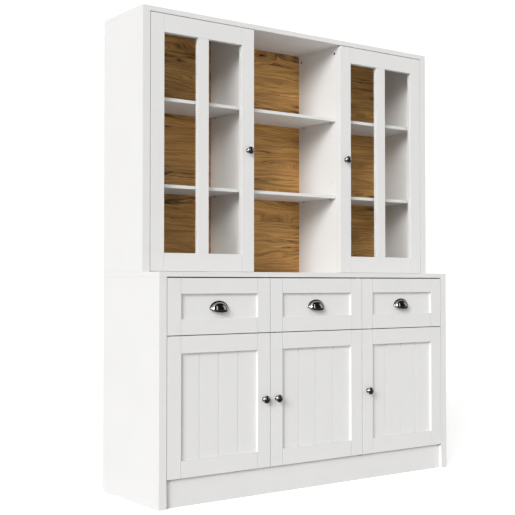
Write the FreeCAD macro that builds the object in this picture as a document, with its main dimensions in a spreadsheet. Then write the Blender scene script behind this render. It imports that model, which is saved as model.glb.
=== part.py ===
import FreeCAD, Part
import math
import os
import re
import Sketcher

# China cabinet: a sideboard base with three drawers over three doors, and a shallower hutch with
# two glass doors either side of an open middle bay. Millimetres, +Z up, front facing -Y, origin
# on the floor at the middle of the bounding box.

SIZES = [
    ("cab_width", 1400, "overall width"),
    ("cab_height", 1750, "overall height"),
    ("base_depth", 400, "depth of the sideboard base"),
    ("base_height", 810, "floor to the base's worktop"),
    ("hutch_depth", 285, "depth of the hutch"),
    ("handle_reach", 26, "knobs stand this far in front of the base's front plane"),
    ("side_thick", 30, "side panels"),
    ("board_thick", 18, "tops, floor, decks, partitions"),
    ("shelf_thick", 12, "hutch shelves"),
    ("front_thick", 20, "door and drawer frames"),
    ("back_thick", 6, "base back panel"),
    ("gap", 3, "gap round doors and drawers"),
    ("drawer_gap", 4, "gap between drawers and worktop"),
    ("hutch_gap", 2.5, "gap above and below the glass doors"),
    ("middle_pitch", 452.4, "distance between the two door gaps of the base"),
    ("hutch_bay", 433.3, "clear width of the open middle bay"),
    ("toe_height", 95, "height of the toe kick"),
    ("toe_recess", 13, "toe kick behind the front plane"),
    ("door_low", 99, "bottom edge of the base doors"),
    ("door_high", 587.5, "top edge of the base doors"),
    ("stile_width", 55, "upright frame members"),
    ("door_rail", 60, "rails of the base doors"),
    ("drawer_rail", 55, "rails of the drawer fronts"),
    ("glass_rail", 65, "rails of the glass doors"),
    ("muntin_width", 45, "middle bar of a glass door"),
    ("muntin_shift", 2.8, "middle bar to the left of the door's middle"),
    ("seam_slot", 1.8, "open line where a stile meets a rail in the base"),
    ("fine_slot", 1.0, "the same line on a glass door"),
    ("seam_lip", 0.3, "eased edge on each side of that line"),
    ("seam_depth", 4, "that line, front to back"),
    ("rabbet", 8, "width of the rabbet that takes a panel or a pane"),
    ("panel_recess", 11, "panel face behind the frame face"),
    ("panel_thick", 6, "panels of doors and drawers"),
    ("glass_thick", 4, "panes"),
    ("groove_width", 4, "grooves between the planks of a panel"),
    ("groove_depth", 2.5, "those grooves"),
    ("carcass_inset", 23, "base partitions behind the front plane"),
    ("divider_inset", 21, "hutch dividers behind the hutch's front plane"),
    ("shelf_inset", 30, "hutch shelves behind the hutch's front plane"),
    ("upper_shelf", 1424.7, "underside of the upper hutch shelf"),
    ("lower_shelf", 1112.3, "underside of the lower hutch shelf"),
    ("base_shelf", 340, "underside of the base shelves"),
    ("base_shelf_inset", 60, "base shelves behind the front plane"),
    ("shelf_play", 1, "gap at each end of a shelf"),
    ("pin_radius", 2.5, "shelf pins and their holes"),
    ("pin_depth", 8, "a shelf pin goes this far into its panel"),
    ("pin_reach", 9, "and stands this far out of it"),
    ("hole_depth", 10, "blind shelf pin holes"),
    ("hole_front", 60, "front column of holes behind the hutch's front plane"),
    ("hole_back", 231, "rear column of holes"),
    ("hole_rise", 70, "spare hole above the one in use"),
    ("hole_drop", 54, "spare hole below the one in use"),
    ("base_hole_front", 90, "front holes of the base behind the front plane"),
    ("base_hole_back", 60, "rear holes of the base before the back"),
    ("cam_radius", 5, "cam fittings that hold the hutch top"),
    ("cam_depth", 12, "bore of a cam fitting"),
    ("cam_front", 37.7, "front cam fittings behind the hutch's front plane"),
    ("cam_back", 251.3, "rear cam fittings"),
    ("cam_height", 1703, "cam fittings above the floor"),
    ("cam_sink", 0.5, "cam fittings below the board's face"),
    ("cam_slot_length", 6.4, "arms of the cross in a cam fitting"),
    ("cam_slot_width", 1.2, "arms of the cross"),
    ("cam_slot_depth", 1.5, "cross below the cam's face"),
    ("pivot_side", 8, "door pivot from the door's edge"),
    ("pivot_front", 6, "door pivot behind the door's face"),
    ("pivot_radius", 2, "pivot pins"),
    ("pivot_play", 0.05, "running clearance round a pivot pin"),
    ("pivot_length", 10, "pivot pin inside the door"),
    ("bush_radius", 3.5, "brass bush round a pivot pin"),
    ("bush_length", 12, "bush let into the door's stile"),
    ("plate_thick", 1.5, "pivot plates"),
    ("plate_width", 14, "pivot plates"),
    ("plate_length", 45, "pivot plates, front to back"),
    ("plate_set", 1, "pivot plates behind the front plane"),
    ("plate_play", 1, "gap between a pivot plate and the base doors"),
    ("housing_play", 0.2, "clearance round the plate let into the base partition"),
    ("knob_height", 347, "knobs of the base doors above the floor"),
    ("hutch_knob_height", 1268, "knobs of the glass doors above the floor"),
    ("knob_radius", 14.75, "knob head"),
    ("rose_radius", 9, "foot of a knob"),
    ("neck_radius", 5.2, "neck of a knob"),
    ("pull_base", 676.3, "lower corners of a cup pull above the floor"),
    ("pull_width", 82, "cup pull across its rim"),
    ("pull_rise", 31.6, "cup pull above its lower corners"),
    ("pull_reach", 24, "cup pull in front of its panel"),
    ("pull_rim", 3, "flat rim round the cup"),
    ("pull_rim_thick", 2, "rim, front to back"),
    ("pull_wall", 1.8, "wall of the cup"),
    ("pull_tilt", 24.6, "degrees that the cup's mouth tips down to the front"),
    ("box_low", 622, "lower edge of the drawer boxes"),
    ("box_high", 755, "upper edge of the drawer boxes"),
    ("box_depth", 350, "drawer box, front to back"),
    ("box_wall", 12, "drawer box walls"),
    ("box_floor", 6, "drawer bottoms"),
    ("floor_raise", 8, "drawer bottom above the box's lower edge"),
    ("rail_space", 13, "space for a slide on each side of a drawer"),
    ("rail_steel", 1.2, "sheet of the slides"),
    ("rail_height", 35, "outer slide member"),
    ("rail_length", 345, "slide members"),
    ("rail_play", 1.3, "ball track between the two slide members"),
    ("rail_level", 672, "middle of the slides above the floor"),
    ("rail_set", 4, "slides behind the drawer front"),
    ("rail_overlap", 0.8, "flanges of a slide short of the member they run in"),
    ("magnet_width", 24, "magnetic catches"),
    ("magnet_height", 10, "magnetic catches"),
    ("magnet_depth", 20, "magnetic catches"),
    ("magnet_play", 0.3, "gap between a catch and its strike"),
    ("strike_thick", 1, "steel strikes on the doors"),
    ("strike_margin", 3, "strike narrower than its catch at each end"),
]

# Half the outline of a knob, as (distance from its axis, distance in front of the door), and for
# the side that starts at each point None where it is straight, or an arc's radius and the side
# that it bows to: +1 outwards, -1 inwards.
KNOB_OUTLINE = [
    ("0", "0", None),
    ("rose_radius", "0", None),
    ("rose_radius", "-2", ("4.8", -1)),
    ("neck_radius", "-4.6", None),
    ("neck_radius", "-9", ("10", -1)),
    ("knob_radius - 1.6", "-14.6", ("3", 1)),
    ("knob_radius", "-17", ("6.5", 1)),
    ("knob_radius - 1.9", "-21.6", ("18.5", 1)),
    ("1", "-handle_reach", None),
    ("0", "-handle_reach", None),
]

doc = FreeCAD.newDocument("china_cabinet")
sheet = doc.addObject("Spreadsheet::Sheet", "Sizes")
for row, (alias, value, note) in enumerate(SIZES, start=1):
    sheet.set(f"A{row}", alias)
    sheet.set(f"B{row}", str(value))
    sheet.setAlias(f"B{row}", alias)
    sheet.set(f"C{row}", note)
doc.recompute()

ALIASES = {alias for alias, value, note in SIZES}

# Planes that many pieces share, as formulas over the sheet.
FRONT = "(handle_reach / 2 - base_depth / 2)"
BACK = "(handle_reach / 2 + base_depth / 2)"
HUTCH_FRONT = "(handle_reach / 2 + base_depth / 2 - hutch_depth)"
HUTCH_BACK = "(handle_reach / 2 + base_depth / 2 - board_thick)"
INNER = "(cab_width / 2 - side_thick)"
GAP_X = "(middle_pitch / 2)"
BAY_X = "(hutch_bay / 2)"
UNDER_TOP = "(cab_height - board_thick)"
WORKTOP_LOW = "(base_height - board_thick)"
FLOOR_LOW = "(door_low - plate_play)"
FLOOR_HIGH = "(door_low - plate_play + board_thick)"
DECK_LOW = "(door_high + plate_play + plate_thick)"
DECK_HIGH = "(door_high + plate_play + plate_thick + board_thick)"
DRAWER_LOW = "(door_high + gap)"
DRAWER_HIGH = "(base_height - board_thick - drawer_gap)"
GLASS_LOW = "(base_height + hutch_gap)"
GLASS_HIGH = "(cab_height - board_thick - hutch_gap)"

sub_parts = []
probe = doc.addObject("App::FeaturePython", "Probe")
probe.addProperty("App::PropertyFloat", "Reading")


def spelled(formula):
    """Point every size's name in a formula at the spreadsheet."""
    return re.sub(r"[a-z_]+", lambda word: "Sizes." + word.group() if word.group() in ALIASES
                  else word.group(), formula)


def bind(thing, prop, formula):
    thing.setExpression(prop, spelled(formula))


def number(formula):
    """The present value of a formula, in millimetres."""
    bind(probe, "Reading", formula)
    probe.recompute()
    return probe.Reading


def place(thing, x, y, z):
    bind(thing, "Placement.Base.x", x)
    bind(thing, "Placement.Base.y", y)
    bind(thing, "Placement.Base.z", z)


def sub_part(thing, name):
    thing.Label = name
    sub_parts.append(thing)
    return thing


def board(name, x, y, z):
    """A box between pairs of formulas (low, high) along X, Y and Z."""
    box = doc.addObject("Part::Box", name)
    for prop, (low, high) in zip(("Length", "Width", "Height"), (x, y, z)):
        bind(box, prop, f"({high}) - ({low})")
    place(box, x[0], y[0], z[0])
    return box


def rod(name, along, radius, length, x, y, z):
    """A cylinder that starts at x, y, z and runs along +X, -X, +Z or -Z."""
    turns = {"+Z": (0, 0, 1, 0), "-Z": (1, 0, 0, 180), "+X": (0, 1, 0, 90), "-X": (0, 1, 0, -90)}
    cylinder = doc.addObject("Part::Cylinder", name)
    bind(cylinder, "Radius", radius)
    bind(cylinder, "Height", length)
    ax, ay, az, angle = turns[along]
    cylinder.Placement.Rotation = FreeCAD.Rotation(FreeCAD.Vector(ax, ay, az), angle)
    place(cylinder, x, y, z)
    return cylinder


def together(name, pieces):
    """Separate solids that share one node or one cut."""
    group = doc.addObject("Part::Compound", name)
    group.Links = pieces
    return group


def combined(kind, name, first, second):
    """The Fuse, Common or Cut of two shapes."""
    result = doc.addObject("Part::" + kind, name)
    result.Base = first
    result.Tool = second
    return result


def cut(name, base, tools):
    tool = tools[0] if len(tools) == 1 else together(name + "_tools", tools)
    return combined("Cut", name, base, tool)


def sketch_outline(body, name, plane, points, bulges):
    """A closed sketch through (x, y) formulas. bulges[i] is None for a straight side from point i,
    or (radius formula, side) for an arc that bows to the left (+1) or right (-1) of that side."""
    sketch = body.newObject("Sketcher::SketchObject", name)
    origin_plane = next(item for item in body.Origin.OriginFeatures if item.Role == plane)
    sketch.AttachmentSupport = [(origin_plane, "")]
    sketch.MapMode = "FlatFace"
    spots = [FreeCAD.Vector(number(x), number(y), 0) for x, y in points]
    ends = []
    for i, start in enumerate(spots):
        end = spots[(i + 1) % len(spots)]
        if bulges[i] is None:
            sketch.addGeometry(Part.LineSegment(start, end), False)
            ends.append((1, 2))
            continue
        radius, side = number(bulges[i][0]), bulges[i][1]
        chord = end - start
        left = FreeCAD.Vector(-chord.y, chord.x, 0).normalize()
        height = math.sqrt(radius ** 2 - chord.Length ** 2 / 4)
        centre = (start + end) * 0.5 - left * (side * height)
        # A sketch's arcs run anticlockwise, so an arc that bows to the left is drawn from its end.
        first, last = (end, start) if side > 0 else (start, end)
        ends.append((2, 1) if side > 0 else (1, 2))
        turn_from = math.atan2(first.y - centre.y, first.x - centre.x)
        turn_to = math.atan2(last.y - centre.y, last.x - centre.x)
        if turn_to < turn_from:
            turn_to += 2 * math.pi
        circle = Part.Circle(centre, FreeCAD.Vector(0, 0, 1), radius)
        sketch.addGeometry(Part.ArcOfCircle(circle, turn_from, turn_to), False)
    for i, (x, y) in enumerate(points):
        after = (i + 1) % len(points)
        sketch.addConstraint(
            Sketcher.Constraint("Coincident", i, ends[i][1], after, ends[after][0]))
        for kind, formula, value in (("DistanceX", x, spots[i].x), ("DistanceY", y, spots[i].y)):
            spot = sketch.addConstraint(Sketcher.Constraint(kind, -1, 1, i, ends[i][0], value))
            bind(sketch, f"Constraints[{spot}]", formula)
        if bulges[i] is not None:
            radius = number(bulges[i][0])
            spot = sketch.addConstraint(Sketcher.Constraint("Radius", i, radius))
            bind(sketch, f"Constraints[{spot}]", bulges[i][0])
    return sketch


def padded(name, plane, points, length):
    """A body padded from a straight-sided outline."""
    body = doc.addObject("PartDesign::Body", name)
    sketch = sketch_outline(body, name + "_outline", plane, points, [None] * len(points))
    pad = body.newObject("PartDesign::Pad", name + "_pad")
    pad.Profile = sketch
    bind(pad, "Length", length)
    sketch.Visibility = False
    return body


# ---- Doors and drawer fronts -------------------------------------------------------------------

def leaf_ranges(x, z, rail):
    """The rabbet's box and the visible opening of a framed door or drawer front."""
    rabbet_x = (f"{x[0]} + stile_width - rabbet", f"{x[1]} - stile_width + rabbet")
    rabbet_z = (f"{z[0]} + {rail} - rabbet", f"{z[1]} - {rail} + rabbet")
    open_x = (f"{x[0]} + stile_width", f"{x[1]} - stile_width")
    open_z = (f"{z[0]} + {rail}", f"{z[1]} - {rail}")
    return rabbet_x, rabbet_z, open_x, open_z


def seam_cutters(name, x, y0, z, open_z, slot):
    """What is cut away along an upright joint, below and above the opening: a narrow slot that
    opens out between two eased edges."""
    side, edge = f"{slot} / 2", f"({slot} / 2 + seam_lip)"
    outline = [(f"-{edge}", "-1"), (f"-{edge}", "0"), (f"-{side}", "seam_lip"),
               (f"-{side}", "seam_depth"), (side, "seam_depth"), (side, "seam_lip"), (edge, "0"),
               (edge, "-1")]
    cutters = []
    for end, low, high in (("low", z[0], open_z[0]), ("high", open_z[1], z[1])):
        cutter = padded(f"{name}_{end}", "XY_Plane", outline, f"({high}) - ({low})")
        place(cutter, x, y0, low)
        cutters.append(cutter)
    return cutters


def framed(name, x, y0, z, rail, slot, bores=None):
    """Two stiles the full height and two rails between them, rabbeted at the back. bores is the
    x of a hinge-side pivot, whose bush holes are drilled in both ends of that stile."""
    rabbet_x, rabbet_z, open_x, open_z = leaf_ranges(x, z, rail)
    depth = (y0, f"{y0} + front_thick")
    left = seam_cutters(f"{name}_seam_left", open_x[0], y0, z, open_z, slot)
    right = seam_cutters(f"{name}_seam_right", open_x[1], y0, z, open_z, slot)
    seams = {"stile_left": left, "stile_right": right, "rail_low": [left[0], right[0]],
             "rail_high": [left[1], right[1]]}
    members = {
        "stile_left": ((x[0], open_x[0]), z),
        "stile_right": ((open_x[1], x[1]), z),
        "rail_low": (open_x, (z[0], open_z[0])),
        "rail_high": (open_x, (open_z[1], z[1])),
    }
    pieces = []
    for member, (mx, mz) in members.items():
        wood = board(f"{name}_{member}_blank", mx, depth, mz)
        tools = [board(f"{name}_{member}_rabbet", rabbet_x,
                       (f"{y0} + panel_recess", f"{y0} + front_thick"), rabbet_z)]
        tools += seams[member]
        if bores and member == "stile_" + bores[0]:
            py = f"{y0} + pivot_front"
            tools.append(rod(f"{name}_bore_low", "+Z", "bush_radius", "bush_length",
                             bores[1], py, z[0]))
            tools.append(rod(f"{name}_bore_high", "-Z", "bush_radius", "bush_length",
                             bores[1], py, z[1]))
        pieces.append(cut(f"{name}_{member}", wood, tools))
    return pieces


def grooved_panel(name, x, y0, z, rail):
    """A tongue-and-groove panel: four planks' width with three upright square grooves."""
    rabbet_x, rabbet_z, open_x, open_z = leaf_ranges(x, z, rail)
    across = f"({rabbet_x[1]}) - ({rabbet_x[0]})"
    clear = f"({open_x[1]}) - ({open_x[0]})"
    outline = [("0", "0")]
    for groove in (1, 2, 3):
        centre = f"rabbet + ({clear}) * {groove} / 4"
        near, far = f"{centre} - groove_width / 2", f"{centre} + groove_width / 2"
        outline += [(near, "0"), (near, "groove_depth"), (far, "groove_depth"), (far, "0")]
    outline += [(across, "0"), (across, "panel_thick"), ("0", "panel_thick")]
    panel = padded(name, "XY_Plane", outline, f"({rabbet_z[1]}) - ({rabbet_z[0]})")
    place(panel, rabbet_x[0], f"{y0} + panel_recess", rabbet_z[0])
    return panel


def knob(name, x, y, z):
    """A turned knob whose axis points to -Y: rose, neck and domed head."""
    body = doc.addObject("PartDesign::Body", name)
    points = [(across, out) for across, out, bulge in KNOB_OUTLINE]
    bulges = [bulge for across, out, bulge in KNOB_OUTLINE]
    sketch = sketch_outline(body, name + "_profile", "XY_Plane", points, bulges)
    turned = body.newObject("PartDesign::Revolution", name + "_turned")
    turned.Profile = sketch
    turned.ReferenceAxis = (sketch, ["V_Axis"])
    turned.Angle = 360
    sketch.Visibility = False
    place(body, x, y, z)
    return sub_part(body, name)


def bushes_and_strike(name, pivot_x, strike_x, y0, z):
    """The door's own fittings: a brass bush in each end of the hinge stile, a steel strike."""
    pieces = []
    for end, along, start in (("low", "+Z", z[0]), ("high", "-Z", z[1])):
        spot = (pivot_x, f"{y0} + pivot_front", start)
        sleeve = rod(f"{name}_{end}_sleeve", along, "bush_radius", "bush_length", *spot)
        bore = rod(f"{name}_{end}_bore", along, "pivot_radius + pivot_play", "bush_length - 1",
                   *spot)
        pieces.append(cut(f"{name}_{end}", sleeve, [bore]))
    pieces.append(board(f"{name}_strike",
                        (f"{strike_x} - magnet_width / 2 + strike_margin",
                         f"{strike_x} + magnet_width / 2 - strike_margin"),
                        (f"{y0} + front_thick", f"{y0} + front_thick + strike_thick"),
                        (f"{z[1]} - gap - magnet_height", f"{z[1]} - gap")))
    return sub_part(together(name, pieces), name)


plates = []
magnets = []


def pivot_plates(name, pivot_x, y0, low, high):
    """Fixed steel plates under and over a door, each with a pin that enters the door's bush.
    low and high are each the plate's z range, the z that its pin starts from and its length."""
    wide = (f"{pivot_x} - plate_width / 2", f"{pivot_x} + plate_width / 2")
    long = (f"{y0} + plate_set", f"{y0} + plate_set + plate_length")
    for end, along, (plate_z, pin_z, reach) in (("low", "+Z", low), ("high", "-Z", high)):
        plate = board(f"{name}_{end}_plate", wide, long, plate_z)
        pin = rod(f"{name}_{end}_pin", along, "pivot_radius", reach, pivot_x,
                  f"{y0} + pivot_front", pin_z)
        plates.append(combined("Fuse", f"{name}_{end}", plate, pin))


def magnet(name, x, y0, under):
    """A magnetic catch under a board, just behind the closed door's strike."""
    y = f"{y0} + front_thick + strike_thick + magnet_play"
    magnets.append(board(name, (f"{x} - magnet_width / 2", f"{x} + magnet_width / 2"),
                         (y, f"{y} + magnet_depth"), (f"{under} - magnet_height", under)))


def hinged_sides(x, hinge):
    """Pivot x and knob x of a door that hangs on its left or right edge."""
    if hinge == "left":
        return f"{x[0]} + pivot_side", f"{x[1]} - stile_width / 2"
    return f"{x[1]} - pivot_side", f"{x[0]} + stile_width / 2"


BASE_LEAVES = {
    "left": (f"-{INNER} + gap", f"-{GAP_X} - gap / 2", "left"),
    "middle": (f"-{GAP_X} + gap / 2", f"{GAP_X} - gap / 2", "right"),
    "right": (f"{GAP_X} + gap / 2", f"{INNER} - gap", "right"),
}

for side, (x_low, x_high, hinge) in BASE_LEAVES.items():
    x, z = (x_low, x_high), ("door_low", "door_high")
    pivot_x, handle_x = hinged_sides(x, hinge)
    door = f"base_door_{side}"
    pieces = framed(door, x, FRONT, z, "door_rail", "seam_slot", (hinge, pivot_x))
    sub_part(together(f"{door}_frame", pieces), f"{door}_frame")
    sub_part(grooved_panel(f"{door}_panel", x, FRONT, z, "door_rail"), f"{door}_panel")
    knob(f"{door}_knob", handle_x, FRONT, "knob_height")
    strike_x = handle_x if side != "right" else f"{x_low} + stile_width / 2 + magnet_width / 4"
    bushes_and_strike(f"{door}_fittings", pivot_x, strike_x, FRONT, z)
    magnet(f"{door}_magnet", strike_x, FRONT, DECK_LOW)
    pivot_plates(f"{door}_pivot", pivot_x, FRONT,
                 ((f"{FLOOR_LOW} - plate_thick", FLOOR_LOW), FLOOR_LOW,
                  "plate_play + pivot_length"),
                 ((f"{DECK_LOW} - plate_thick", DECK_LOW), f"{DECK_LOW} - plate_thick",
                  "plate_play + pivot_length"))

GLASS_LEAVES = {
    "left": (f"-{INNER} + gap", f"-{BAY_X}", "left"),
    "right": (BAY_X, f"{INNER} - gap", "right"),
}

for side, (x_low, x_high, hinge) in GLASS_LEAVES.items():
    x, z = (x_low, x_high), (GLASS_LOW, GLASS_HIGH)
    pivot_x, handle_x = hinged_sides(x, hinge)
    door = f"glass_door_{side}"
    rabbet_x, rabbet_z, open_x, open_z = leaf_ranges(x, z, "glass_rail")
    middle = f"(({x_low}) + ({x_high})) / 2 - muntin_shift"
    bar = (f"{middle} - muntin_width / 2", f"{middle} + muntin_width / 2")
    pane_y = (f"{HUTCH_FRONT} + panel_recess", f"{HUTCH_FRONT} + panel_recess + glass_thick")
    pieces = framed(door, x, HUTCH_FRONT, z, "glass_rail", "fine_slot", (hinge, pivot_x))
    bar_seams = [board(f"{door}_muntin_seam_{end}", bar,
                       (HUTCH_FRONT, f"{HUTCH_FRONT} + fine_slot"), seam_z)
                 for end, seam_z in (("low", (open_z[0], f"{open_z[0]} + fine_slot")),
                                     ("high", (f"{open_z[1]} - fine_slot", open_z[1])))]
    pieces.append(cut(f"{door}_muntin",
                      board(f"{door}_muntin_blank", bar, (HUTCH_FRONT, pane_y[0]), open_z),
                      bar_seams))
    sub_part(together(f"{door}_frame", pieces), f"{door}_frame")
    sub_part(board(f"{door}_pane", rabbet_x, pane_y, rabbet_z), f"{door}_pane")
    bead_y = (pane_y[1], f"{HUTCH_FRONT} + front_thick")
    beads = {
        "left": ((rabbet_x[0], open_x[0]), rabbet_z),
        "right": ((open_x[1], rabbet_x[1]), rabbet_z),
        "low": (open_x, (rabbet_z[0], open_z[0])),
        "high": (open_x, (open_z[1], rabbet_z[1])),
        "middle": (bar, open_z),
    }
    sub_part(together(f"{door}_beads", [board(f"{door}_bead_{spot}", bx, bead_y, bz)
                                        for spot, (bx, bz) in beads.items()]), f"{door}_beads")
    knob(f"{door}_knob", handle_x, HUTCH_FRONT, "hutch_knob_height")
    outward = "-" if side == "left" else "+"
    strike_x = f"{handle_x} {outward} magnet_width / 3"
    bushes_and_strike(f"{door}_fittings", pivot_x, strike_x, HUTCH_FRONT, z)
    magnet(f"{door}_magnet", strike_x, HUTCH_FRONT, UNDER_TOP)
    pivot_plates(f"{door}_pivot", pivot_x, HUTCH_FRONT,
                 (("base_height", "base_height + plate_thick"), "base_height",
                  "hutch_gap + pivot_length"),
                 ((f"{UNDER_TOP} - plate_thick", UNDER_TOP), UNDER_TOP,
                  "hutch_gap + pivot_length"))

sub_part(together("pivot_plates", plates), "pivot_plates")
sub_part(together("magnet_catches", magnets), "magnet_catches")


# ---- Drawers -----------------------------------------------------------------------------------

def cup_pull(name, x, y, z):
    """A hollow quarter-dome with a flat rim, open below, its mouth tipped down to the front."""
    def dome(part, across, up, out, sweep):
        """An ellipsoid about the line through the pull's corners, at the origin. It sweeps from
        the wall above that line, forwards and down."""
        shell = doc.addObject("Part::Ellipsoid", f"{name}_{part}")
        bind(shell, "Radius1", across)
        bind(shell, "Radius2", up)
        bind(shell, "Radius3", out)
        bind(shell, "Angle3", sweep)
        shell.Placement.Rotation = FreeCAD.Rotation(FreeCAD.Vector(1, 0, 1), 180)
        return shell

    def to_lip(up, out):
        return f"180 deg - atan(({up}) / (({out}) * tan(pull_tilt)))"

    half, cup_rise = "pull_width / 2", "(pull_rise - pull_rim)"
    outer = dome("outer", f"{half} - pull_rim", cup_rise, "pull_reach",
                 to_lip(cup_rise, "pull_reach"))
    inner = dome("inner", f"{half} - pull_rim - pull_wall", f"{cup_rise} - pull_wall",
                 "pull_reach - pull_wall", "270 deg")
    edge = dome("edge", half, "pull_rise", "pull_reach * 2", to_lip("pull_rise", "pull_reach * 2"))
    slab = board(f"{name}_slab", ("-pull_width", "pull_width"), ("-pull_rim_thick", "0"),
                 ("-pull_rise", "pull_rise * 2"))
    rim = combined("Common", f"{name}_rim", edge, slab)
    solid = combined("Fuse", f"{name}_solid", outer, rim)
    pull = combined("Cut", name, solid, inner)
    place(pull, x, y, z)
    return sub_part(pull, name)


def slide_member(name, lies_on, half_height, x, y):
    """One C-shaped slide member, pressed from sheet. Its web lies on a panel at x and its flanges
    stand out to the right (+1) or to the left (-1)."""
    def at(distance):
        return f"({distance}) * {lies_on}"

    steel, reach = "rail_steel", "rail_space - rail_steel - rail_overlap"
    outline = [(at("0"), f"-({half_height})"), (at(reach), f"-({half_height})"),
               (at(reach), f"-({half_height}) + {steel}"),
               (at(steel), f"-({half_height}) + {steel}"),
               (at(steel), f"({half_height}) - {steel}"),
               (at(reach), f"({half_height}) - {steel}"),
               (at(reach), half_height), (at("0"), half_height)]
    body = padded(name, "XZ_Plane", outline, "rail_length")
    place(body, x, f"{y} + rail_length", "rail_level")
    return body


DRAWER_BAYS = {
    "left": (f"-{INNER}", f"-{GAP_X} - board_thick / 2"),
    "middle": (f"-{GAP_X} + board_thick / 2", f"{GAP_X} - board_thick / 2"),
    "right": (f"{GAP_X} + board_thick / 2", INNER),
}
OUTER_HALF = "rail_height / 2"
INNER_HALF = "rail_height / 2 - rail_steel - rail_play"
outer_rails = []

for side, bay in DRAWER_BAYS.items():
    x, z = BASE_LEAVES[side][:2], (DRAWER_LOW, DRAWER_HIGH)
    drawer = f"drawer_{side}"
    rabbet_x, rabbet_z, open_x, open_z = leaf_ranges(x, z, "drawer_rail")
    pieces = framed(drawer, x, FRONT, z, "drawer_rail", "seam_slot")
    pieces.append(board(f"{drawer}_panel", rabbet_x,
                        (f"{FRONT} + panel_recess", f"{FRONT} + front_thick"), rabbet_z))
    sub_part(together(f"{drawer}_front", pieces), f"{drawer}_front")

    box_x = (f"{bay[0]} + rail_space", f"{bay[1]} - rail_space")
    box_y = (f"{FRONT} + front_thick", f"{FRONT} + front_thick + box_depth")
    box_z = ("box_low", "box_high")
    within_x = (f"{box_x[0]} + box_wall", f"{box_x[1]} - box_wall")
    walls = {
        "wall_left": ((box_x[0], within_x[0]), box_y, box_z),
        "wall_right": ((within_x[1], box_x[1]), box_y, box_z),
        "wall_front": (within_x, (box_y[0], f"{box_y[0]} + box_wall"), box_z),
        "wall_back": (within_x, (f"{box_y[1]} - box_wall", box_y[1]), box_z),
        "bottom": (within_x, (f"{box_y[0]} + box_wall", f"{box_y[1]} - box_wall"),
                   ("box_low + floor_raise", "box_low + floor_raise + box_floor")),
    }
    sub_part(together(f"{drawer}_box", [board(f"{drawer}_{wall}", *spans)
                                        for wall, spans in walls.items()]), f"{drawer}_box")
    middle = f"(({x[0]}) + ({x[1]})) / 2"
    cup_pull(f"{drawer}_pull", middle, f"{FRONT} + panel_recess", "pull_base")

    rail_y = f"{FRONT} + front_thick + rail_set"
    outer_rails += [
        slide_member(f"{drawer}_outer_left", 1, OUTER_HALF, bay[0], rail_y),
        slide_member(f"{drawer}_outer_right", -1, OUTER_HALF, bay[1], rail_y),
    ]
    inner_rails = [
        slide_member(f"{drawer}_inner_left", -1, INNER_HALF, box_x[0], rail_y),
        slide_member(f"{drawer}_inner_right", 1, INNER_HALF, box_x[1], rail_y),
    ]
    sub_part(together(f"{drawer}_slides", inner_rails), f"{drawer}_slides")

sub_part(together("fixed_slides", outer_rails), "fixed_slides")


# ---- Shelf pins, their holes and the cam fittings ----------------------------------------------

pins = []
cams = []
HUTCH_SHELVES = {"upper": "upper_shelf", "lower": "lower_shelf"}
HOLE_COLUMNS = {"front": f"{HUTCH_FRONT} + hole_front", "back": f"{HUTCH_FRONT} + hole_back"}
BASE_COLUMNS = {"front": f"{FRONT} + base_hole_front", "back": f"{BACK} - base_hole_back"}


def hutch_holes(name, along, x, depth):
    """Both columns of shelf pin holes: the one in use and a spare above and below it."""
    tools = []
    for shelf, level in HUTCH_SHELVES.items():
        for column, y in HOLE_COLUMNS.items():
            for spare, shift in (("use", ""), ("up", "+ hole_rise"), ("down", "- hole_drop")):
                tools.append(rod(f"{name}_{shelf}_{column}_{spare}", along, "pin_radius", depth,
                                 x, y, f"{level} - pin_radius {shift}"))
    return tools


def base_holes(name, along, x, depth):
    return [rod(f"{name}_{column}", along, "pin_radius", depth, x, y, "base_shelf - pin_radius")
            for column, y in BASE_COLUMNS.items()]


def shelf_pins(name, along, face, columns, level):
    """Pins under one end of a shelf. along points from the panel into the bay."""
    start = f"{face} - pin_depth" if along == "+X" else f"{face} + pin_depth"
    for column, y in columns.items():
        pins.append(rod(f"{name}_{column}_pin", along, "pin_radius", "pin_depth + pin_reach",
                        start, y, f"{level} - pin_radius"))


def cam_bores(name, along, face):
    """Two bores near the top of an upright, and the slotted cams that sit in them. along points
    from the face into the panel."""
    bores = []
    sign = "+" if along == "+X" else "-"
    for spot, inset in (("front", "cam_front"), ("back", "cam_back")):
        y = f"{HUTCH_FRONT} + {inset}"
        bores.append(rod(f"{name}_{spot}_cam_bore", along, "cam_radius", "cam_depth", face, y,
                         "cam_height"))
        disc = rod(f"{name}_{spot}_cam_disc", along, "cam_radius", "cam_depth - cam_sink",
                   f"{face} {sign} cam_sink", y, "cam_height")
        bottom = "(cam_sink + cam_slot_depth)"
        deep = (f"{face} - {bottom}", f"{face} + {bottom}")
        arms = []
        for arm, length, width in (("flat", "cam_slot_length", "cam_slot_width"),
                                   ("tall", "cam_slot_width", "cam_slot_length")):
            arms.append(board(f"{name}_{spot}_slot_{arm}", deep,
                              (f"{y} - {length} / 2", f"{y} + {length} / 2"),
                              (f"cam_height - {width} / 2", f"cam_height + {width} / 2")))
        cams.append(cut(f"{name}_{spot}_cam", disc,
                        [combined("Fuse", f"{name}_{spot}_cross", *arms)]))
    return bores


# ---- Base carcass ------------------------------------------------------------------------------

def side_panel(name, x, y, z, tools):
    return sub_part(cut(name, board(name + "_blank", x, y, z), tools), name)


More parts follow.
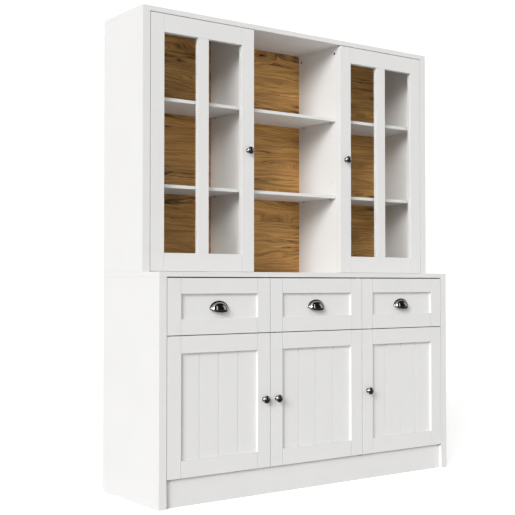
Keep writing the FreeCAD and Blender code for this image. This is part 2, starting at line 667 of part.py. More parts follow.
BASE_Y = (FRONT, BACK)
BEHIND_LEAVES = (f"{FRONT} + carcass_inset", f"{BACK} - back_thick")
side_panel("base_side_left", (f"-{INNER} - side_thick", f"-{INNER}"), BASE_Y, ("0", WORKTOP_LOW),
           base_holes("base_left", "-X", f"-{INNER}", "hole_depth"))
side_panel("base_side_right", (INNER, f"{INNER} + side_thick"), BASE_Y, ("0", WORKTOP_LOW),
           base_holes("base_right", "+X", INNER, "hole_depth"))
sub_part(board("base_worktop", ("-cab_width / 2", "cab_width / 2"), BASE_Y,
               (WORKTOP_LOW, "base_height")), "base_worktop")
sub_part(board("base_floor", (f"-{INNER}", INNER), BEHIND_LEAVES, (FLOOR_LOW, FLOOR_HIGH)),
         "base_floor")
sub_part(board("drawer_deck", (f"-{INNER}", INNER), BEHIND_LEAVES, (DECK_LOW, DECK_HIGH)),
         "drawer_deck")
PARTITION = (f"{GAP_X} - board_thick / 2", f"{GAP_X} + board_thick / 2")
MIRRORED = (f"-{GAP_X} - board_thick / 2", f"-{GAP_X} + board_thick / 2")
plate_edge = f"{hinged_sides(BASE_LEAVES['middle'], 'right')[0]} + plate_width / 2"
housing = board("base_partition_plate_housing",
                (f"{PARTITION[0]} - gap", f"{plate_edge} + housing_play"),
                (f"{FRONT} + plate_set", f"{FRONT} + plate_set + plate_length + housing_play"),
                (f"{DECK_LOW} - plate_thick - housing_play", f"{DECK_LOW} + gap"))
side_panel("base_partition", PARTITION, BEHIND_LEAVES, (FLOOR_HIGH, DECK_LOW),
           base_holes("base_partition", "+X", PARTITION[0], "board_thick") + [housing])
sub_part(board("drawer_partition_left", MIRRORED, BEHIND_LEAVES, (DECK_HIGH, WORKTOP_LOW)),
         "drawer_partition_left")
sub_part(board("drawer_partition_right", PARTITION, BEHIND_LEAVES, (DECK_HIGH, WORKTOP_LOW)),
         "drawer_partition_right")
sub_part(board("toe_kick", (f"-{INNER}", INNER),
               (f"{FRONT} + toe_recess", f"{FRONT} + toe_recess + board_thick"),
               ("0", "toe_height")), "toe_kick")
sub_part(board("base_back", (f"-{INNER}", INNER), (f"{BACK} - back_thick", BACK),
               ("toe_height", WORKTOP_LOW)), "base_back")

BASE_BAYS = {"wide": (f"-{INNER}", PARTITION[0]), "narrow": (PARTITION[1], INNER)}
for size, (left, right) in BASE_BAYS.items():
    sub_part(board(f"base_shelf_{size}", (f"{left} + shelf_play", f"{right} - shelf_play"),
                   (f"{FRONT} + base_shelf_inset", f"{BACK} - back_thick - shelf_play"),
                   ("base_shelf", "base_shelf + board_thick")), f"base_shelf_{size}")
    shelf_pins(f"base_{size}_left", "+X", left, BASE_COLUMNS, "base_shelf")
    shelf_pins(f"base_{size}_right", "-X", right, BASE_COLUMNS, "base_shelf")

# ---- Hutch -------------------------------------------------------------------------------------

HUTCH_Z = ("base_height", UNDER_TOP)
side_panel("hutch_side_left", (f"-{INNER} - side_thick", f"-{INNER}"), (HUTCH_FRONT, BACK), HUTCH_Z,
           hutch_holes("hutch_left", "-X", f"-{INNER}", "hole_depth")
           + cam_bores("hutch_left", "-X", f"-{INNER}"))
side_panel("hutch_side_right", (INNER, f"{INNER} + side_thick"), (HUTCH_FRONT, BACK), HUTCH_Z,
           hutch_holes("hutch_right", "+X", INNER, "hole_depth")
           + cam_bores("hutch_right", "+X", INNER))
DIVIDER_Y = (f"{HUTCH_FRONT} + divider_inset", HUTCH_BACK)
side_panel("hutch_divider_left", (f"-{BAY_X} - board_thick", f"-{BAY_X}"), DIVIDER_Y, HUTCH_Z,
           hutch_holes("divider_left", "+X", f"-{BAY_X} - board_thick", "board_thick")
           + cam_bores("divider_left", "-X", f"-{BAY_X}"))
side_panel("hutch_divider_right", (BAY_X, f"{BAY_X} + board_thick"), DIVIDER_Y, HUTCH_Z,
           hutch_holes("divider_right", "+X", BAY_X, "board_thick")
           + cam_bores("divider_right", "+X", BAY_X))
sub_part(board("hutch_top", ("-cab_width / 2", "cab_width / 2"), (HUTCH_FRONT, BACK),
               (UNDER_TOP, "cab_height")), "hutch_top")
sub_part(board("hutch_back", (f"-{INNER}", INNER), (HUTCH_BACK, BACK), HUTCH_Z), "hutch_back")

HUTCH_BAYS = {
    "left": (f"-{INNER}", f"-{BAY_X} - board_thick"),
    "middle": (f"-{BAY_X}", BAY_X),
    "right": (f"{BAY_X} + board_thick", INNER),
}
for side, (left, right) in HUTCH_BAYS.items():
    boards = []
    for shelf, level in HUTCH_SHELVES.items():
        boards.append(board(f"hutch_shelf_{side}_{shelf}",
                            (f"{left} + shelf_play", f"{right} - shelf_play"),
                            (f"{HUTCH_FRONT} + shelf_inset", f"{HUTCH_BACK} - shelf_play"),
                            (level, f"{level} + shelf_thick")))
        shelf_pins(f"hutch_{side}_{shelf}_left", "+X", left, HOLE_COLUMNS, level)
        shelf_pins(f"hutch_{side}_{shelf}_right", "-X", right, HOLE_COLUMNS, level)
    sub_part(together(f"hutch_shelves_{side}", boards), f"hutch_shelves_{side}")

sub_part(together("shelf_pins", pins), "shelf_pins")
sub_part(together("cam_fittings", cams), "cam_fittings")

# ---- Check and write ---------------------------------------------------------------------------

doc.recompute()
faults = [f"{thing.Label}: {thing.State}" for thing in doc.Objects
          if "Invalid" in thing.State or "Error" in thing.State]
for thing in sub_parts:
    if thing.Shape.isNull() or not thing.Shape.isValid() or not thing.Shape.Solids:
        faults.append(f"{thing.Label}: shape not usable")
if faults:
    raise SystemExit("\n".join(faults))

os.makedirs("parts", exist_ok=True)
for thing in sub_parts:
    thing.Shape.exportStep(f"parts/{thing.Label}.step")
print(len(sub_parts), "sub-parts written")
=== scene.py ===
import math

import bmesh
import bpy
from mathutils import Matrix, Vector


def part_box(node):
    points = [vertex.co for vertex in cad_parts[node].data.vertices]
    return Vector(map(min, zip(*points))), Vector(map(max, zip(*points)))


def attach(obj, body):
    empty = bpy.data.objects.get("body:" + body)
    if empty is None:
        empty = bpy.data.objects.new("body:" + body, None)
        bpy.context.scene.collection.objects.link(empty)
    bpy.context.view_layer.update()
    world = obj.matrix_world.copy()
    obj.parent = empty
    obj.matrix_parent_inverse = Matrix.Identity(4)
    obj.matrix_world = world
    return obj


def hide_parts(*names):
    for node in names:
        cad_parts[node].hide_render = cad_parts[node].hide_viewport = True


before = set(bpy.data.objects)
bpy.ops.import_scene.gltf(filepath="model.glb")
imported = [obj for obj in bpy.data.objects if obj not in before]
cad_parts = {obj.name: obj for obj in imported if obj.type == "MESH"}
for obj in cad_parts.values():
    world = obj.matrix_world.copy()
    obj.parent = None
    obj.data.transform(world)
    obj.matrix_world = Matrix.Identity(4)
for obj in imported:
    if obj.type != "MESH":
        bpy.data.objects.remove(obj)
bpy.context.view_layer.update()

# China cabinet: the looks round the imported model. Metres, front facing -Y, +Z up.

scene = bpy.context.scene

MM = 0.001    # the sizes below are in millimetres

# How far the edges of a node are eased. The first word that is in the node's name counts, and None
# leaves the edges as they are.
EASED = [
    ("knob", None),
    ("pane", None),
    ("shelf_pins", 0.3),
    ("cam_fittings", 0.2),
    ("pivot_plates", 0.3),
    ("fixed_slides", 0.3),
    ("slides", 0.3),
    ("magnet", 0.8),
    ("fittings", 0.25),
    ("beads", 0.5),
    ("panel", 0.25),
    ("box", 0.6),
    ("front", 0.4),
    ("frame", 0.4),
    ("", 0.8),
]
DARKER = {"cam_fittings": "dark_zinc"}    # nodes whose finish isn't their slot's

PULL_RIM = 4.0          # flat rim round a cup pull
PULL_RIM_THICK = 1.4    # front to back
PULL_WALL = 1.8
PULL_TILT = 24.6        # degrees that the mouth tips down to the front
PULL_BASE = 676.3       # lower corners above the floor
PULL_ROLLED = 0.3       # rounding of its edges
DOOR_THICK = 20.0
DRAWER_WALL = 12.0
SLIDE_STEEL = 1.2

SCREW_RADIUS = 4.0      # heads of the screws that hold pulls and knobs
SCREW_HEIGHT = 2.2
SCREW_SPACING = 64.0    # the two screws of a cup pull
SCREW_LEVEL = 690.0     # those screws above the floor
SLIDE_SCREW_RADIUS = 3.5
SLIDE_SCREW_HEIGHT = 1.8
SLIDE_SCREWS = (0.10, 0.46, 0.88)    # share of a slide member's length, from its front


# ---- Camera and light ---------------------------------------------------------------------------

LENS = 71.717
SENSOR = 36
CAMERA_PLACE = (-2.5050, -3.1879, 0.76995)
CAMERA_TURN = (91.4313, 0, -36.492)    # degrees

KEY_TOWARD = (-0.80, -0.49, 0.36)
KEY_SPREAD = 24                        # degrees
KEY_POWER = 2.56

BASE_GLOW = 0.577    # the walls, as they light the cabinet
ROOM_GLOW = 0.022    # the dark room that metal and glass mirror
SEEN_GLOW = 1.1      # the walls, as the camera sees them
WINDOWS = [  # bearing from the front and half width in degrees, height, half height, blur, strength
    (-68, 9, 0.42, 0.75, 0.05, 3.4),
    (-12, 4, 0.20, 0.60, 0.05, 2.2),
    (63, 12, 0.15, 0.45, 0.10, 0.9),
    (140, 16, 0.10, 0.60, 0.12, 1.2),
]


def place_camera():
    camera = bpy.data.objects.new("camera", bpy.data.cameras.new("camera"))
    camera.data.sensor_width = SENSOR
    camera.data.lens = LENS
    camera.location = CAMERA_PLACE
    camera.rotation_euler = [math.radians(degrees) for degrees in CAMERA_TURN]
    scene.collection.objects.link(camera)
    scene.camera = camera


def key_light():
    """A large softbox, far away to the front left."""
    light = bpy.data.lights.new("key", "SUN")
    light.energy = KEY_POWER
    light.angle = math.radians(KEY_SPREAD)
    holder = bpy.data.objects.new("key", light)
    holder.rotation_euler = Vector(KEY_TOWARD).to_track_quat("Z", "Y").to_euler()
    scene.collection.objects.link(holder)


def pale_surroundings():
    """A white studio that rays see in three ways. The camera sees white walls, also through a pane.
    Softer walls light the cabinet evenly. Metal and glass mirror the lit windows of a dark room."""
    world = bpy.data.worlds.new("studio")
    world.use_nodes = True
    tree = world.node_tree
    tree.nodes.clear()

    def add(kind, feeds=None, **settings):
        node = tree.nodes.new(kind)
        for name, value in settings.items():
            setattr(node, name, value)
        for spot, value in (feeds or {}).items():
            if isinstance(value, bpy.types.NodeSocket):
                tree.links.new(value, node.inputs[spot])
            else:
                node.inputs[spot].default_value = value
        return node.outputs[0]

    def math_node(operation, first, second=0.0):
        return add("ShaderNodeMath", {0: first, 1: second}, operation=operation)

    def within(value, middle, half, blur):
        """One inside the band round the middle, fading to none outside it."""
        away = math_node("ABSOLUTE", math_node("SUBTRACT", value, middle))
        return add("ShaderNodeMapRange", {"Value": away, "From Min": half + blur,
                                          "From Max": half - blur, "To Min": 0.0, "To Max": 1.0},
                   interpolation_type="SMOOTHSTEP")

    direction = tree.nodes.new("ShaderNodeTexCoord").outputs["Generated"]
    split = tree.nodes.new("ShaderNodeSeparateXYZ")
    tree.links.new(direction, split.inputs[0])
    bearing = math_node("ARCTAN2", split.outputs[0], math_node("MULTIPLY", split.outputs[1], -1.0))
    height = split.outputs[2]
    mirrored = ROOM_GLOW
    for turn, half, middle, reach, blur, strength in WINDOWS:
        window = math_node("MULTIPLY", within(bearing, math.radians(turn), math.radians(half), blur),
                           within(height, middle, reach, blur))
        mirrored = math_node("ADD", mirrored, math_node("MULTIPLY", window, strength))

    # A ray that glass has let through counts as the camera's, unless something mirrored it first.
    path = tree.nodes.new("ShaderNodeLightPath").outputs
    lit = add("ShaderNodeBackground", {"Color": (1, 0.996, 0.988, 1), "Strength": BASE_GLOW})
    room = add("ShaderNodeBackground", {"Color": (1, 1, 1, 1), "Strength": mirrored})
    seen = add("ShaderNodeBackground", {"Color": (1, 1, 1, 1), "Strength": SEEN_GLOW})
    shiny = add("ShaderNodeMixShader", {0: path["Is Glossy Ray"], 1: lit, 2: room})
    through_glass = math_node("MULTIPLY", path["Is Transmission Ray"],
                              math_node("LESS_THAN", path["Glossy Depth"], 0.5))
    looking = math_node("MAXIMUM", path["Is Camera Ray"], through_glass)
    all_rays = add("ShaderNodeMixShader", {0: looking, 1: shiny, 2: seen})
    tree.links.new(all_rays, tree.nodes.new("ShaderNodeOutputWorld").inputs["Surface"])
    scene.world = world
    scene.view_settings.view_transform = "Standard"
    scene.view_settings.look = "None"


place_camera()
pale_surroundings()
key_light()


# ---- Materials ----------------------------------------------------------------------------------

PLANK = 0.176    # height of an oak board
OAK_LIGHT = (0.880, 0.500, 0.163)
OAK_MID = (0.610, 0.312, 0.088)
OAK_DEEP = (0.225, 0.100, 0.022)
OAK_DARK = (0.040, 0.018, 0.008)
OAK_WARM = (0.72, 0.66, 0.58)
OAK_YELLOWED = (1.0, 0.94, 0.82)

FLOOR_SEEN = (0.95, 0.95, 0.945)
FLOOR_MOTTLED = (0.935, 0.935, 0.93)
FLOOR_BOUNCE = (0.66, 0.66, 0.655)
FLOOR_MIRRORED = (0.06, 0.06, 0.06)
FLOOR_GLOW = 0.42
FLOOR_SIZE = 30


class Graph:
    """Short calls that build one material's nodes. add returns a node, and the methods after shade
    return the socket that they make."""

    def __init__(self, name):
        self.material = bpy.data.materials.new(name)
        self.material.use_nodes = True
        self.tree = self.material.node_tree
        self.tree.nodes.clear()
        self.shader = self.add("ShaderNodeBsdfPrincipled")
        self.out = self.add("ShaderNodeOutputMaterial")
        self.feed(self.out, "Surface", self.shader.outputs[0])
        self.where = self.add("ShaderNodeTexCoord").outputs["Object"]

    def add(self, kind, feeds=None, **settings):
        node = self.tree.nodes.new(kind)
        for name, value in settings.items():
            setattr(node, name, value)
        for name, value in (feeds or {}).items():
            self.feed(node, name, value)
        return node

    def feed(self, node, name, value):
        if isinstance(value, bpy.types.NodeSocket):
            self.tree.links.new(value, node.inputs[name])
        else:
            node.inputs[name].default_value = value

    def shade(self, **feeds):
        """Feed the shader: Base_Color for "Base Color"."""
        for name, value in feeds.items():
            if name == "Base_Color" and isinstance(value, tuple):
                value = (*value, 1)
            self.feed(self.shader, name.replace("_", " "), value)

    def math(self, operation, first, second=0.0):
        return self.add("ShaderNodeMath", {0: first, 1: second}, operation=operation).outputs[0]

    def plus(self, first, second):
        return self.math("ADD", first, second)

    def minus(self, first, second):
        return self.math("SUBTRACT", first, second)

    def times(self, first, second):
        return self.math("MULTIPLY", first, second)

    def stretched(self, where, x, y, z):
        node = self.add("ShaderNodeVectorMath", {0: where, 1: (x, y, z)}, operation="MULTIPLY")
        return node.outputs[0]

    def shifted(self, where, by):
        return self.add("ShaderNodeVectorMath", {0: where, 1: by}, operation="ADD").outputs[0]

    def joined(self, x, y, z):
        return self.add("ShaderNodeCombineXYZ", {0: x, 1: y, 2: z}).outputs[0]

    def noise(self, where, scale, detail=2.0, rough=0.5, warp=0.0):
        node = self.add("ShaderNodeTexNoise", {"Vector": where, "Scale": scale, "Detail": detail,
                                               "Roughness": rough, "Distortion": warp})
        return node.outputs[0]

    def ranged(self, value, low, high, to_low, to_high, smooth=False):
        node = self.add("ShaderNodeMapRange", {"Value": value, "From Min": low, "From Max": high,
                                               "To Min": to_low, "To Max": to_high})
        if smooth:
            node.interpolation_type = "SMOOTHSTEP"
        return node.outputs[0]

    def mixed(self, share, first, second, blend="MIX"):
        node = self.add("ShaderNodeMix", data_type="RGBA", blend_type=blend)
        for spot, value in ((0, share), (6, first), (7, second)):
            if isinstance(value, tuple):
                value = (*value, 1)
            self.feed(node, spot, value)
        return node.outputs[2]

    def bumped(self, height, strength, distance):
        return self.add("ShaderNodeBump", {"Height": height, "Strength": strength,
                                           "Distance": distance}).outputs[0]


def satin_paint(name, colour, rough):
    """Sprayed satin lacquer: a faint orange peel, slow drifts of tone and gloss."""
    g = Graph(name)
    drift = g.noise(g.where, 5.5, 3)
    patch = g.noise(g.shifted(g.where, (3.1, 7.7, 1.9)), 23, 4, 0.6)
    peel = g.noise(g.where, 950, 3, 0.55)
    specks = g.ranged(g.noise(g.where, 2100, 1), 0.70, 0.80, 0, 1)
    darker = tuple(c * 0.985 for c in colour)
    tone = g.mixed(g.ranged(drift, 0.35, 0.65, 0, 1), colour, darker)
    tone = g.mixed(g.times(specks, 0.10), tone, tuple(c * 0.8 for c in colour))
    height = g.plus(peel, g.times(patch, 0.6))
    g.shade(Base_Color=tone, Roughness=g.ranged(patch, 0.3, 0.7, rough - 0.05, rough + 0.06),
            Normal=g.bumped(height, 0.16, 0.00012), Specular_IOR_Level=0.30)
    return g.material


def melamine(name, colour):
    """Drawer boards: pale melamine with a fine linen emboss."""
    g = Graph(name)
    across = g.noise(g.stretched(g.where, 900, 160, 160), 1, 2)
    along = g.noise(g.stretched(g.where, 160, 900, 900), 1, 2)
    drift = g.noise(g.where, 8, 3)
    weave = g.plus(across, along)
    tone = g.mixed(g.ranged(drift, 0.35, 0.65, 0, 1), colour, tuple(c * 0.955 for c in colour))
    tone = g.mixed(g.ranged(weave, 0.8, 1.25, 0, 0.12), tone, tuple(c * 0.72 for c in colour))
    g.shade(Base_Color=tone, Roughness=g.ranged(weave, 0.7, 1.3, 0.42, 0.56),
            Normal=g.bumped(weave, 0.22, 0.00015))
    return g.material


def oak_boards(g, x, z):
    """Planks one above another: the place along and up each board's own grain, a chance value and
    colour for each, and the seams between them."""
    wander = g.times(g.minus(g.noise(g.stretched(g.where, 1.1, 0, 0), 1, 1), 0.5), 0.004)
    level = g.math("DIVIDE", g.plus(g.plus(z, wander), 0.031), PLANK)
    inside = g.math("FRACT", level)
    chance, tint = g.add("ShaderNodeTexWhiteNoise", {"W": g.plus(g.math("FLOOR", level), 0.37)},
                         noise_dimensions="1D").outputs
    along = g.plus(x, g.times(chance, 9.0))
    up = g.plus(z, g.times(chance, 3.0))
    seam = g.ranged(g.math("MINIMUM", inside, g.minus(1.0, inside)), 0.0, 0.0075, 1, 0)
    return along, up, chance, tint, seam


def oak_knots(g, along, up):
    """A knot in some cells of a grid that is longer than it is high: its core, and the halo that
    pushes the grain aside."""
    cell = g.add("ShaderNodeTexVoronoi",
                 {"Vector": g.joined(g.times(along, 3.3), g.times(up, 9.5), 0.0),
                  "Scale": 1.0, "Randomness": 0.85}, voronoi_dimensions="3D")
    edge = g.noise(g.joined(g.times(along, 60), g.times(up, 120), 0.0), 1, 3)
    away = g.plus(cell.outputs["Distance"], g.times(g.minus(edge, 0.5), 0.10))
    chosen = g.add("ShaderNodeSeparateColor", {0: cell.outputs["Color"]}).outputs
    kept = g.ranged(chosen[0], 0.50, 0.52, 0, 1)
    radii = g.math("DIVIDE", away, g.ranged(chosen[1], 0, 1, 0.035, 0.095))
    core = g.times(kept, g.ranged(radii, 0.45, 1.0, 1, 0, True))
    halo = g.times(kept, g.ranged(radii, 0.8, 4.2, 1, 0, True))
    return core, halo


def oak_cracks(g, along, up, y, phase, halo):
    """Thin open cracks along the grain, in some stretches of a board and beside the knots."""
    field = g.noise(g.joined(g.times(along, 3.0), g.times(phase, 2.3), y), 1, 3, 0.55)
    line = g.ranged(g.math("ABSOLUTE", g.minus(field, 0.5)), 0.006, 0.044, 1, 0)
    stretch = g.noise(g.joined(g.times(along, 2.1), g.times(up, 11.0), 4.0), 1, 2)
    cracked = g.ranged(stretch, 0.52, 0.59, 0, 1, True)
    return g.times(line, g.math("MAXIMUM", cracked, g.times(halo, 0.8)))


def knotty_oak(name):
    """Rustic oak boards laid level: long grain along X, planks one above another, each with its own
    tone, open cracks, and knots that the grain flows round."""
    g = Graph(name)
    x, y, z = g.add("ShaderNodeSeparateXYZ", {0: g.where}).outputs
    along, up, chance, tint, seam = oak_boards(g, x, z)
    core, halo = oak_knots(g, along, up)

    # The grain's phase runs up the board, drifts along it and is pushed aside by the knots.
    slow = g.noise(g.joined(g.times(along, 1.3), g.times(up, 7.0), y), 1, 3, 0.5, 0.4)
    phase = g.plus(g.plus(g.times(up, 34.0), g.times(slow, 5.0)), g.times(halo, 2.0))
    figure = g.noise(g.joined(g.times(along, 2.2), phase, y), 1.6, 4, 0.62)
    rings = g.times(g.plus(g.math("SINE", g.times(phase, 4.2)), 1.0), 0.5)
    bands = g.noise(g.joined(g.times(along, 3.6), g.times(phase, 4.2), g.plus(y, 7.0)), 1, 3, 0.6)
    streak = g.noise(g.joined(g.times(along, 9.0), g.times(phase, 11.0), y), 1, 4, 0.65)
    pores = g.noise(g.joined(g.times(along, 55.0), g.times(phase, 62.0), y), 1, 2)
    crack = oak_cracks(g, along, up, y, phase, halo)

    tone = g.mixed(g.ranged(figure, 0.30, 0.68, 0, 1), OAK_LIGHT, OAK_MID)
    for share, darker in (
            (g.ranged(bands, 0.45, 0.70, 0, 0.60), OAK_DEEP),
            (g.ranged(streak, 0.48, 0.70, 0, 0.58), OAK_DEEP),
            (g.times(rings, 0.06), OAK_DEEP),
            (g.ranged(pores, 0.58, 0.74, 0, 0.42), OAK_DARK),
            (g.ranged(halo, 0, 1, 0, 0.50), OAK_DEEP)):
        tone = g.mixed(share, tone, darker)
    tone = g.mixed(g.ranged(chance, 0, 1, 0.0, 0.34), tone, OAK_WARM, "MULTIPLY")
    for mark, strength in ((core, 0.92), (crack, 0.85), (seam, 0.75)):
        tone = g.mixed(g.times(mark, strength), tone, OAK_DARK)
    green = g.add("ShaderNodeSeparateColor", {0: tint}).outputs[1]
    tone = g.mixed(g.times(green, 0.20), tone, OAK_YELLOWED, "MULTIPLY")

    relief = g.minus(g.times(streak, -0.35), g.times(pores, 0.35))
    relief = g.minus(g.minus(relief, g.times(crack, 1.3)), g.times(seam, 1.2))
    g.shade(Base_Color=tone, Roughness=g.ranged(streak, 0.3, 0.8, 0.46, 0.62),
            Normal=g.bumped(relief, 0.35, 0.0005), Specular_IOR_Level=0.35)
    return g.material


def polished_metal(name, colour, rough, smear, scratch=0.05):
    """Plated or turned metal: cloudy gloss, hairline scratches."""
    g = Graph(name)
    cloud = g.noise(g.where, 85, 4, 0.6)
    lines = g.noise(g.stretched(g.where, 2600, 260, 2600), 1, 2)
    darker = tuple(c * (1 - smear) for c in colour)
    g.shade(Base_Color=g.mixed(g.ranged(cloud, 0.3, 0.7, 0, 1), colour, darker), Metallic=1.0,
            Roughness=g.ranged(g.plus(cloud, g.times(lines, 0.5)), 0.4, 1.1,
                               rough - 0.03, rough + 0.06),
            Normal=g.bumped(lines, scratch, 0.00002))
    return g.material


def moulded_plastic(name, colour):
    """Fine spark-eroded texture."""
    g = Graph(name)
    grain = g.noise(g.where, 2400, 3, 0.6)
    drift = g.noise(g.where, 60, 2)
    tone = g.mixed(g.ranged(drift, 0.3, 0.7, 0, 1), colour, tuple(c * 0.86 for c in colour))
    g.shade(Base_Color=tone, Roughness=g.ranged(grain, 0.3, 0.7, 0.42, 0.58),
            Normal=g.bumped(grain, 0.35, 0.00012))
    return g.material


def clear_glass(name):
    """Float glass that reflects weakly, with the faintest smears on its faces. Shadow rays and
    diffuse rays pass straight through it."""
    g = Graph(name)
    smear = g.noise(g.stretched(g.where, 6, 6, 2), 1, 4, 0.6)
    g.shade(Base_Color=(0.998, 1.0, 0.999), Transmission_Weight=1.0, IOR=1.35,
            Roughness=g.ranged(smear, 0.45, 0.8, 0.0, 0.025),
            Normal=g.bumped(g.noise(g.where, 3.5, 1), 0.015, 0.002))
    path = g.add("ShaderNodeLightPath")
    passing = g.math("MAXIMUM", path.outputs["Is Shadow Ray"], path.outputs["Is Diffuse Ray"])
    through = g.add("ShaderNodeBsdfTransparent", {"Color": (0.995, 0.997, 0.996, 1)})
    mix = g.add("ShaderNodeMixShader", {0: passing, 1: g.shader.outputs[0],
                                        2: through.outputs[0]})
    g.feed(g.out, "Surface", mix.outputs[0])
    return g.material


def pale_floor(name):
    """A white sweep that rays see in three ways, as they do the walls. To the camera it is pale and
    glows a little, it is greyer where it lights the cabinet from below, and dark where it is
    mirrored."""
    g = Graph(name)
    mottle = g.ranged(g.noise(g.where, 3.0, 4, 0.6), 0.35, 0.65, 0, 1)
    fine = g.noise(g.where, 260, 2)
    seen = g.mixed(mottle, FLOOR_SEEN, FLOOR_MOTTLED)
    path = g.add("ShaderNodeLightPath").outputs
    through_glass = g.times(path["Is Transmission Ray"],
                           g.math("LESS_THAN", path["Glossy Depth"], 0.5))
    looked_at = g.math("MAXIMUM", path["Is Camera Ray"], through_glass)
    lit = g.mixed(path["Is Glossy Ray"], FLOOR_BOUNCE, FLOOR_MIRRORED)
    g.shade(Base_Color=g.mixed(looked_at, lit, seen),
            Emission_Color=(1, 1, 1, 1),
            Emission_Strength=g.times(looked_at, FLOOR_GLOW),
            Roughness=g.ranged(fine, 0.3, 0.7, 0.6, 0.7), Normal=g.bumped(fine, 0.05, 0.0002),
            Specular_IOR_Level=0.2)
    return g.material


finishes = {
    "white_paint": satin_paint("satin_white", (0.781, 0.777, 0.769), 0.42),
    "drawer_board": melamine("pale_melamine", (0.72, 0.715, 0.70)),
    "knotty_oak": knotty_oak("rustic_oak"),
    "clear_glass": clear_glass("float_glass"),
    "dark_nickel": polished_metal("black_nickel", (0.42, 0.405, 0.39), 0.065, 0.20),
    "zinc_steel": polished_metal("zinc_plate", (0.60, 0.61, 0.62), 0.30, 0.25, 0.15),
    "dark_zinc": polished_metal("dark_zinc", (0.075, 0.072, 0.070), 0.45, 0.25, 0.10),
    "brass": polished_metal("turned_brass", (0.72, 0.52, 0.24), 0.24, 0.20, 0.10),
    "magnet_plastic": moulded_plastic("catch_plastic", (0.055, 0.052, 0.050)),
}


# ---- The CAD nodes: finishes and eased edges ----------------------------------------------------

def ease(thing, width):
    """Join the solids' split corners, then round their edges."""
    weld = thing.modifiers.new("joined", "WELD")
    weld.merge_threshold = 0.000002
    bevel = thing.modifiers.new("eased", "BEVEL")
    bevel.width = width * MM
    bevel.segments = 2
    bevel.limit_method = "ANGLE"
    bevel.angle_limit = math.radians(50)
    bevel.use_clamp_overlap = True
    bevel.harden_normals = True


for node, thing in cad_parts.items():
    for holder in thing.material_slots:
        holder.material = finishes[DARKER.get(node, holder.material.name)]
    width = next(size for word, size in EASED if word in node)
    if width:
        ease(thing, width)


# ---- Pieces -------------------------------------------------------------------------------------

def piece(name, mesh_builder, body, slot, smooth_below):
    """A new piece from a bmesh, in the row frame, riding on a body."""
    mesh = bpy.data.meshes.new(name)
    mesh_builder.to_mesh(mesh)
    mesh_builder.free()
    made = bpy.data.objects.new(name, mesh)
    scene.collection.objects.link(made)
    mesh.shade_smooth()
    mesh.set_sharp_from_angle(angle=math.radians(smooth_below))
    mesh.materials.append(finishes[slot])
    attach(made, body)
    return made


def screw_heads(name, spots, out, body, radius=SCREW_RADIUS, height=SCREW_HEIGHT):
    """Pan heads with a cross recess. out is the direction that the heads stand out in."""
    built = bmesh.new()
    turn = Vector(out).to_track_quat("Z", "Y").to_matrix().to_4x4()
    rings, steps = 9, 48
    # Shares of the radius and the height: up the rim, over its shoulder, then across the top.
    profile = [(1.0, 0.0), (1.0, 0.45), (0.93, 0.74), (0.80, 0.90)]
    profile += [(0.66 - 0.66 * i / rings, 0.97 + 0.03 * i / rings) for i in range(rings)]
    arm_reach, arm_half, recess_depth, recess_end = 0.60, 0.15, 0.55, 0.75
    for spot in spots:
        stand = Matrix.Translation(Vector(spot)) @ turn
        loops = []
        for share, up in profile:
            loop = []
            for step in range(steps):
                angle = 2 * math.pi * step / steps
                px, py = share * math.cos(angle), share * math.sin(angle)
                reach = max(abs(px), abs(py))
                thin = min(abs(px), abs(py))
                inside = reach < arm_reach and thin < arm_half
                depth = recess_depth * (1 - reach / recess_end) if inside else 0.0
                point = Vector((px * radius, py * radius, (up - depth) * height)) * MM
                loop.append(built.verts.new(stand @ point))
            loops.append(loop)
        for near, far in zip(loops, loops[1:]):
            for step in range(steps):
                after = (step + 1) % steps
                built.faces.new((near[step], near[after], far[after], far[step]))
        built.faces.new(loops[-1])
        built.faces.new(loops[0][::-1])
    return piece(name, built, body, "zinc_steel", 30)


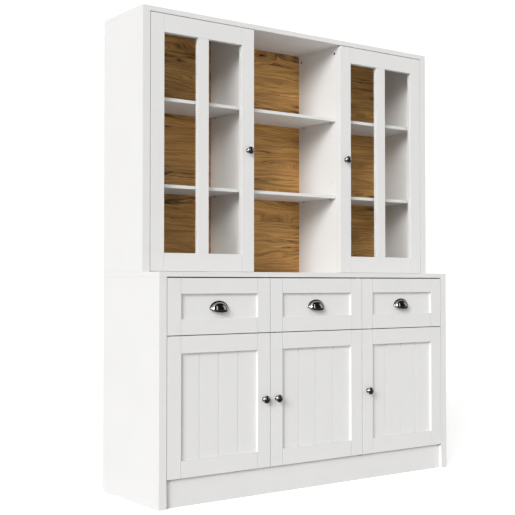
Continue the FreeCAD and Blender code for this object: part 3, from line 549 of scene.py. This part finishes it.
def cup_pull(side):
    """A pressed cup pull: a hollow quarter-dome inside a flat arched rim."""
    node = f"drawer_{side}_pull"
    low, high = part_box(node)
    middle = (low.x + high.x) / 2
    back, base = high.y, PULL_BASE * MM
    half, rise, reach = (high.x - low.x) / 2, high.z - base, high.y - low.y
    rim, thick, wall = PULL_RIM * MM, PULL_RIM_THICK * MM, PULL_WALL * MM
    tip = math.tan(math.radians(PULL_TILT))

    def on_dome(across, up, out, u, w):
        return Vector((middle - across * math.cos(u), back - out * math.sin(u) * math.sin(w),
                       base + up * math.sin(u) * math.cos(w)))

    def lip(up, out):
        return math.pi - math.atan2(up, out * tip)

    outer = (half - rim, rise - rim, reach)
    inner = (half - rim - wall, rise - rim - wall, reach - wall)
    steps_round, steps_out = 72, 26
    corner = 0.012       # sections stop this share of the half turn short of each lower corner
    foot_most = 0.98     # the dome leaves its rim before this share of the way to its lip
    built = bmesh.new()
    sections = []
    for i in range(steps_round + 1):
        u = math.pi * (corner + (1 - 2 * corner) * i / steps_round)
        section = []
        for j in range(steps_out + 1):
            section.append(on_dome(*inner, u, lip(*inner[1:]) * (1 - j / steps_out)))
        edge = Vector((middle - half * math.cos(u), back, base + rise * math.sin(u)))
        front = Vector((0, -thick, 0))
        section.append(edge)
        section.append(edge + front)
        last = lip(*outer[1:])
        foot = math.asin(min(1.0, thick / (outer[2] * math.sin(u))))
        foot = min(foot, last * foot_most)
        for j in range(steps_out + 1):
            section.append(on_dome(*outer, u, foot + (last - foot) * j / steps_out))
        sections.append([built.verts.new(point) for point in section])
    for near, far in zip(sections, sections[1:]):
        count = len(near)
        for j in range(count):
            after = (j + 1) % count
            built.faces.new((near[j], near[after], far[after], far[j]))
    built.faces.new(sections[0][::-1])
    built.faces.new(sections[-1])
    bmesh.ops.recalc_face_normals(built, faces=built.faces)
    made = piece(f"cup_pull_{side}", built, f"drawer_{side}", "dark_nickel", 40)
    bevel = made.modifiers.new("rolled", "BEVEL")
    bevel.width = PULL_ROLLED * MM
    bevel.segments = 3
    bevel.limit_method = "ANGLE"
    bevel.angle_limit = math.radians(50)
    bevel.harden_normals = True
    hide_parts(node)


def pull_screws(side):
    """The screws of a cup pull, their heads inside the drawer box."""
    box_low, box_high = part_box(f"drawer_{side}_box")
    middle = (box_low.x + box_high.x) / 2
    inside = box_low.y + DRAWER_WALL * MM
    spots = [(middle + hand * SCREW_SPACING / 2 * MM, inside, SCREW_LEVEL * MM) for hand in (-1, 1)]
    screw_heads(f"pull_screws_{side}", spots, (0, 1, 0), f"drawer_{side}")


def knob_screw(name, knob_box, body):
    """The screw of a knob, its head on the back of the door's frame."""
    low, high = knob_box
    spot = ((low.x + high.x) / 2, high.y + DOOR_THICK * MM, (low.z + high.z) / 2)
    screw_heads(name, [spot], (0, 1, 0), body)


def slide_screws(side):
    """The screws that hold the moving slide members to a drawer box."""
    low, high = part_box(f"drawer_{side}_slides")
    box_low, box_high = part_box(f"drawer_{side}_box")
    level = (low.z + high.z) / 2
    for hand, face, out in (("left", box_low.x, -1), ("right", box_high.x, 1)):
        spots = [(face + out * SLIDE_STEEL * MM, low.y + (high.y - low.y) * share, level)
                 for share in SLIDE_SCREWS]
        screw_heads(f"slide_screws_{side}_{hand}", spots, (out, 0, 0), f"drawer_{side}",
                    SLIDE_SCREW_RADIUS, SLIDE_SCREW_HEIGHT)


def add_floor():
    built = bmesh.new()
    bmesh.ops.create_grid(built, x_segments=8, y_segments=8, size=FLOOR_SIZE)
    mesh = bpy.data.meshes.new("floor")
    built.to_mesh(mesh)
    built.free()
    mesh.materials.append(pale_floor("floor_paint"))
    floor = bpy.data.objects.new("floor", mesh)
    scene.collection.objects.link(floor)


for side in ("left", "middle", "right"):
    cup_pull(side)
    pull_screws(side)
    slide_screws(side)
    knob_screw(f"knob_screw_base_{side}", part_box(f"base_door_{side}_knob"), f"base_door_{side}")

for side in ("left", "right"):
    knob_screw(f"knob_screw_glass_{side}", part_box(f"glass_door_{side}_knob"), f"glass_door_{side}")

add_floor()
